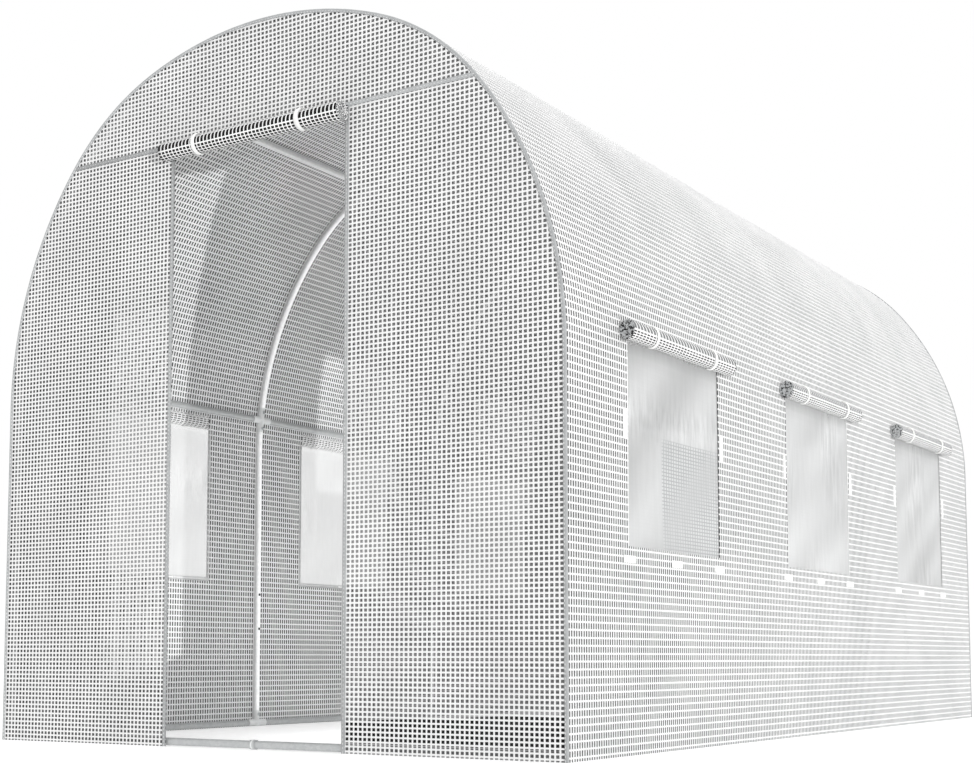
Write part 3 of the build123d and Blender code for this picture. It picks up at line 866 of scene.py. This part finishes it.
# hook-and-loop patches beside and under each window: pillow-edged, sewn round
patch = {
    "thick": 0.0016, "sideSize": (0.019, 0.08), "sideHeight": 0.862, "sideGap": 0.012,
    "sillSize": (0.069, 0.02), "sillDrop": 0.034, "corner": 0.003, "sewnIn": 0.0025,
    "rings": ((0, 0.0), (0, 0.55), (0.0012, 0.9), (0.0035, 1.0)),
}
stitchLines = []


def patchPiece(name, spots, side):
    points, faces, n = [], [], 16
    for y, z, w, h in spots:
        start = len(points)
        for inset, rise in patch["rings"]:
            r = max(patch["corner"] - inset, 0.0005)
            a, b, x = w / 2 - inset - r, h / 2 - inset - r, side * (tunnel["halfWidth"] + rise * patch["thick"])
            for cy, cz, first in ((a, b, 0), (-a, b, 90), (-a, -b, 180), (a, -b, 270)):
                for t in np.radians([first, first + 30, first + 60, first + 90]):
                    points.append((x, y + cy + r * math.cos(t), z + cz + r * math.sin(t)))
        faces += ringFaces(start, len(patch["rings"]), n)
        faces.append([len(points) - n + k for k in range(n)])
    return tidyNormals(meshPiece(name, points, faces, [hookTape]))


for side, label in ((1, "right"), (-1, "left")):
    spots = []
    for low, high in windowSpans:
        reach = patch["sideGap"] + patch["sideSize"][0] / 2
        spots += [(y, patch["sideHeight"], *patch["sideSize"]) for y in (low - reach, high + reach)]
        sillZ = window["sill"] - patch["sillDrop"]
        spots += [(y, sillZ, *patch["sillSize"]) for y in (low, (low + high) / 2, high)]
    carry(patchPiece(label + "_hook_patches", spots, side), "white_strap", label + "_window_fasteners")
    x = side * (tunnel["halfWidth"] + patch["thick"] * 0.95)
    for y, z, w, h in spots:
        a, b = w / 2 - patch["sewnIn"], h / 2 - patch["sewnIn"]
        loop = [(a, b), (-a, b), (-a, -b), (a, -b), (a, b)]
        stitchLines.append([((x, y + p, z + q), (side, 0, 0)) for p, q in loop])
print("hook patches")

# stitches: binding tapes, hems and patches; real ones are about 3 mm, drawn longer so that they show
sewn = {
    "pitch": 0.011, "length": 0.0065, "radius": 0.0006, "proud": 0.0003, "endGap": 0.004, "fromEdge": 0.005,
    "hemHeight": 0.03, "hemEndGap": 0.02,
}
for faceY, sign in ((frontY, -1), (backY, 1)):
    y, inset = faceY + sign * (binding["thick"] + sewn["proud"]), sewn["fromEdge"]
    stitchLines.append([
        ((x - out.x * inset, y, z - out.y * inset), (0, sign, 0)) for x, z, out in alongArch(sewn["endGap"])])
tapeTop = frontY - 1.1 * binding["thick"]
stitchLines.append([((x, tapeTop, lintelZ), (0, -1, 0)) for x in (-lintelEnd, lintelEnd)])
for side in (-1, 1):
    stitchLines.append([((side * jambX, tapeTop, z), (0, -1, 0)) for z in (sewn["endGap"], door["lintel"])])
    x, gap = side * (tunnel["halfWidth"] + sewn["proud"]), sewn["hemEndGap"]
    stitchLines.append([((x, y, sewn["hemHeight"]), (side, 0, 0)) for y in (frontY + gap, backY - gap)])
stitches = grow("sewn_stitches", stitchLines, sewnStitches, {
    "Pitch": sewn["pitch"], "Stitch length": sewn["length"], "Thread radius": sewn["radius"],
    "Finish": sewingThread})
carry(stitches, "white_strap")

# screws that pin the tubes in their sockets, on the inner side of each sleeve
screw = {"radius": 0.0042, "height": 0.0026, "reach": 0.031, "sleeve": 0.0133}
# spring buttons that lock the two-part legs, a pair on the inner side of each
button = {"radius": 0.0034, "height": 0.0022, "heights": (0.36, 0.487), "tube": 0.011}
screwSpots, buttonSpots = [], []
axisX, deep = tunnel["halfWidth"] - tunnel["tubeInset"], tunnel["tubeInset"] + screw["sleeve"]
for side in (-1, 1):
    for y in hoopYs:
        footZ = screw["sleeve"] + screw["reach"]
        screwSpots.append(((side * (axisX - screw["sleeve"]), y, footZ), (-side, 0, 0)))
        for degrees in (tunnel["eaveAngle"], tunnel["ridgeAngle"]):
            for shift in (-screw["reach"], screw["reach"]):
                x, z, out = archAt(girthAtAngle(degrees) + shift)
                place = (side * (x - out.x * deep), y, z - out.y * deep)
                screwSpots.append((place, (-side * out.x, 0, -out.y)))
        buttonSpots += [((side * (axisX - button["tube"]), y, z), (-side, 0, 0)) for z in button["heights"]]
pins = (("tube_screws", screwSpots, screw, zincScrew), ("leg_buttons", buttonSpots, button, darkButton))
for name, spots, size, finish in pins:
    made = grow(name, [[spot] for spot in spots], panScrews, {
        "Head radius": size["radius"], "Head height": size["height"], "Finish": finish})
    carry(made, "steel_tube")

# pale rings round the couplings at the middle of the end rails, open underneath: a painted highlight where the
# tube ends meet
glintRing = {"halfWidth": 0.0024, "thick": 0.0008, "sunk": 0.0002, "from": -55, "to": 235, "steps": 40}
section = ((-1, -glintRing["sunk"]), (-1, glintRing["thick"]), (1, glintRing["thick"]), (1, -glintRing["sunk"]))
points, faces = [], []
for y in (hoopYs[0], hoopYs[-1]):
    first = len(points)
    for turn in np.radians(np.linspace(glintRing["from"], glintRing["to"], glintRing["steps"] + 1)):
        for x, lift in section:
            radius = screw["sleeve"] + lift
            z = screw["sleeve"] + radius * math.sin(turn)
            points.append((x * glintRing["halfWidth"], y + radius * math.cos(turn), z))
    for here in range(first, first + 4 * glintRing["steps"], 4):
        faces += [[here + i, here + 4 + i, here + 5 + i, here + 1 + i] for i in range(3)]
carry(meshPiece("coupling_glint_rings", points, faces, [paleJoint], smooth=False), "joint_plastic")
print("stitches, screws and seals")

# cloth pieces go on the root, hiding the CAD panels they stand for
for piece in (coverLong, coverRound, *frontTapes, *backTapes, shadeBandPanel):
    carry(piece, "cover_sheet")
carry(coverFilm, "cover_sheet", "left_wall", "right_wall", "left_haunch", "right_haunch",
      "left_shoulder", "right_shoulder", "roof_crown")
carry(frontFilm, "cover_sheet", "front_left_panel", "front_right_panel", "front_head_panel")
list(frontTapes)
carry(backFilm, "cover_sheet", "back_wall")
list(backTapes)

# CAD tubes and sockets keep their shape and take a finish: hoops and roof purlin the pale zinc with painted
# light, rails, eave purlin and couplings the grey zinc with painted shade
for name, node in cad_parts.items():
    isHoop = name.endswith(("hoop", "roof_purlin"))
    isRail = name.endswith(("rail", "eave_purlin", "tube_couplings"))
    node.data.materials.clear()
    node.data.materials.append(litZinc if isHoop else shadedZinc if isRail else paleJoint)

studio = {
    "ambient": 0.88, "floorLift": 0.3, "floorHalf": 40, "groundDrop": 0.004, "overPower": 40.0,
    "keyFrom": (8.0, -4.8, -1.48), "keyStrength": 1.7, "keyAngle": 0.8,
    "kickFrom": (8.0, 2.4, -0.96), "kickStrength": 2.6, "backStrength": 0.55, "backAngle": 70,
    "fillPower": 8.7, "fillHeight": 0.48, "fillPlaces": (-0.9, 0.15, 1.15), "fillSize": 0.25,
}


# 1 for what is seen straight, in a shine or through something clear
def seenRays(tree):
    rays = addNode(tree, "LightPath")
    seen = addNode(tree, "Math", {0: rays["Is Camera Ray"], 1: rays["Is Glossy Ray"]}, operation="MAXIMUM")[0]
    return addNode(tree, "Math", {0: seen, 1: rays["Is Transmission Ray"]}, operation="MAXIMUM")[0]


# pale paper that goes out to white, with the shadow kept
def paperSurface(tree):
    lift = addNode(tree, "Math", {0: seenRays(tree), 1: studio["floorLift"]}, operation="MULTIPLY")[0]
    matt = addNode(tree, "BsdfDiffuse", {"Color": hexToLinear("#f2f2f2")})[0]
    bright = addNode(tree, "Emission", {"Color": (1, 1, 1, 1), "Strength": lift})[0]
    return addNode(tree, "AddShader", {0: matt, 1: bright})[0]


def flatPiece(name, lowX, highX, lowY, highY, z):
    corners = [(lowX, lowY, z), (highX, lowY, z), (highX, highY, z), (lowX, highY, z)]
    piece = meshPiece(name, corners, [[0, 1, 2, 3]], [paper])
    return piece


def addLamp(name, kind, place, target, power, **settings):
    data = bpy.data.lights.new(name, kind)
    data.energy = power
    for key, value in settings.items():
        setattr(data, key, value)
    lamp = bpy.data.objects.new(name, data)
    lamp.location = place
    lamp.rotation_euler = (Vector(target) - Vector(place)).to_track_quat("-Z", "Y").to_euler()
    lamp.visible_camera = lamp.visible_glossy = False
    scene.collection.objects.link(lamp)
    return lamp


paper = newMaterial("paperFloor", paperSurface)
half = studio["floorHalf"]
floor = flatPiece("floor", -half, half, -half, half, 0)
world = bpy.data.worlds.new("studio")
scene.world = world
world.use_nodes = True
tree = world.node_tree
tree.nodes.clear()
level = addNode(tree, "MapRange", {"Value": seenRays(tree), "To Min": studio["ambient"], "To Max": 1.0})[0]
sky = addNode(tree, "Background", {"Color": (1, 1, 1, 1), "Strength": level})[0]
addNode(tree, "OutputWorld", {"Surface": sky})

# a key that rises slightly from the front right, through the paper floor but not the tunnel's own ground
key = addLamp("key", "SUN", studio["keyFrom"], (0, 0, 0), studio["keyStrength"],
              angle=math.radians(studio["keyAngle"]))
passing = bpy.data.collections.new("keyBlockers")
passing.objects.link(floor)
key.light_linking.blocker_collection = passing
passing.collection_objects[0].light_linking.link_state = "EXCLUDE"
flatPiece("ground", -tunnel["halfWidth"], tunnel["halfWidth"], frontY, backY, -studio["groundDrop"])
# a soft box overhead, a wide soft light on the far sides, and soft fill inside the tunnel
addLamp("overhead", "AREA", (0, 0, 6), (0, 0, 0), studio["overPower"], shape="SQUARE", size=5.0)
addLamp("farSide", "SUN", (-8, 6, 3), (0, 0, 0), studio["backStrength"],
        angle=math.radians(studio["backAngle"]))
for y in studio["fillPlaces"]:
    addLamp("fill", "POINT", (0, y, studio["fillHeight"]), (0, y, 0), studio["fillPower"],
            shadow_soft_size=studio["fillSize"], use_shadow=False)
# a kicker that only the hoops take, so the zinc shows its pale side and its shaded one
kicker = addLamp("kicker", "SUN", studio["kickFrom"], (0, 0, 0), studio["kickStrength"], use_shadow=False)
hoopTubes = bpy.data.collections.new("hoopTubes")
for name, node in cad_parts.items():
    if name.endswith("hoop"):
        hoopTubes.objects.link(node)
kicker.light_linking.receiver_collection = hoopTubes
print("studio")
